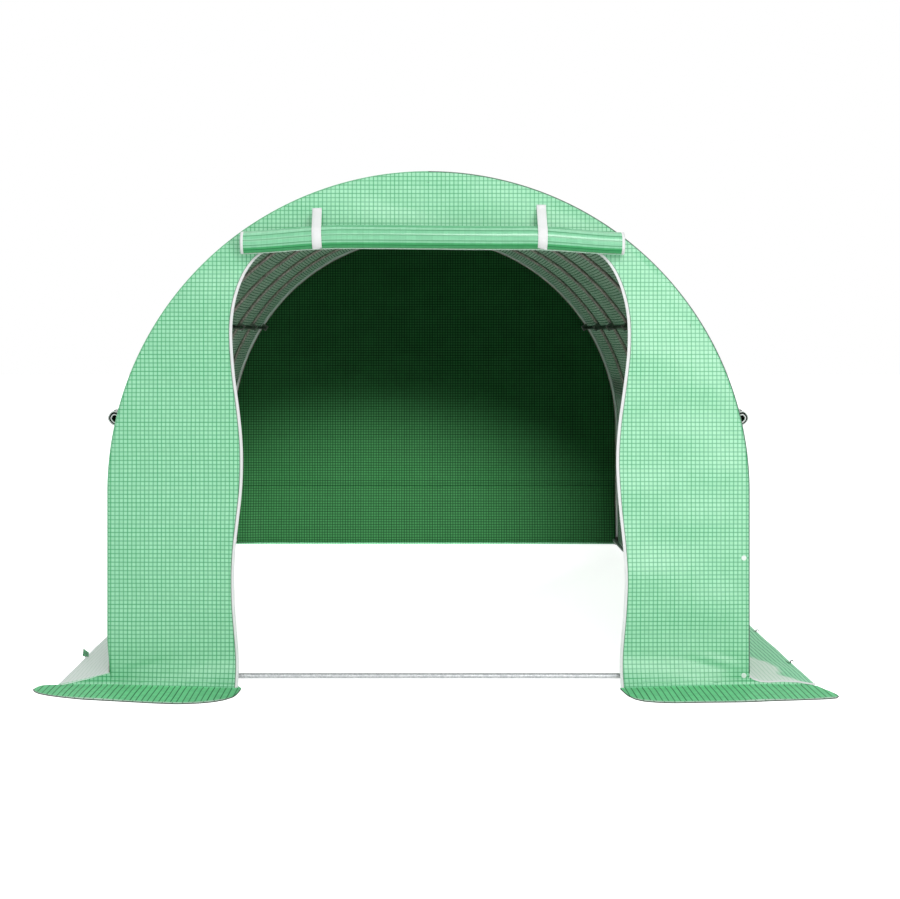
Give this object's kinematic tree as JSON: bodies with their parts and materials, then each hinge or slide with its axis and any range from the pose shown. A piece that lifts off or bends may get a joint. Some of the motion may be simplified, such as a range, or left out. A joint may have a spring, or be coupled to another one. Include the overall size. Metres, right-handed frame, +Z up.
{
  "type": "polytunnel greenhouse",
  "caption": "Walk-in garden polytunnel: galvanised tube hoops under a woven green film cover, with a doorway, net windows and ground skirts.",
  "frame": {"origin": "on the ground at the middle of the floor", "axes": "+X to the right seen from the doorway end, +Y along the tunnel away from the doorway, +Z up"},
  "size_m": [3.0436, 4.61, 2],
  "materials": {
    "galvanised_tube": "galvanised steel tube, dull grey",
    "clip_plastic": "moulded dark green-black plastic",
    "foot_plastic": "moulded black plastic cap",
    "cover_film": "woven translucent green film with a darker reinforcing grid",
    "skirt_film": "the same woven film, lying on the ground",
    "window_net": "fine pale mesh",
    "white_tape": "white woven zip tape and strapping",
    "button_plastic": "white moulded plastic button",
    "peg_steel": "dark coated steel wire"
  },
  "bodies": {
    "root": {"left_legs": "galvanised_tube", "right_legs": "galvanised_tube", "left_side_bows": "galvanised_tube", "right_side_bows": "galvanised_tube", "crown_bows": "galvanised_tube", "purlin_front_tubes": "galvanised_tube", "purlin_middle_tubes": "galvanised_tube", "purlin_back_tubes": "galvanised_tube", "rail_front_tubes": "galvanised_tube", "rail_middle_tubes": "galvanised_tube", "rail_back_tubes": "galvanised_tube", "cross_rails": "galvanised_tube", "purlin_clips": "clip_plastic", "rail_clips": "clip_plastic", "corner_fittings": "clip_plastic", "foot_caps": "foot_plastic", "left_wall_cover": "cover_film", "right_wall_cover": "cover_film", "left_eaves_cover": "cover_film", "right_eaves_cover": "cover_film", "left_roof_cover": "cover_film", "ridge_cover": "cover_film", "right_roof_cover": "cover_film", "front_panel_left": "cover_film", "front_panel_right": "cover_film", "front_panel_top": "cover_film", "back_panel": "cover_film", "door_roll": "cover_film", "left_window_rolls": "cover_film", "right_window_rolls": "cover_film", "left_side_skirt": "skirt_film", "right_side_skirt": "skirt_film", "left_front_skirt": "skirt_film", "right_front_skirt": "skirt_film", "back_skirt": "skirt_film", "left_window_nets": "window_net", "right_window_nets": "window_net", "left_door_zip": "white_tape", "right_door_zip": "white_tape", "left_door_strap": "white_tape", "right_door_strap": "white_tape", "panel_buttons": "button_plastic", "left_ground_pegs": "peg_steel", "right_ground_pegs": "peg_steel"}
  },
  "joints": []
}
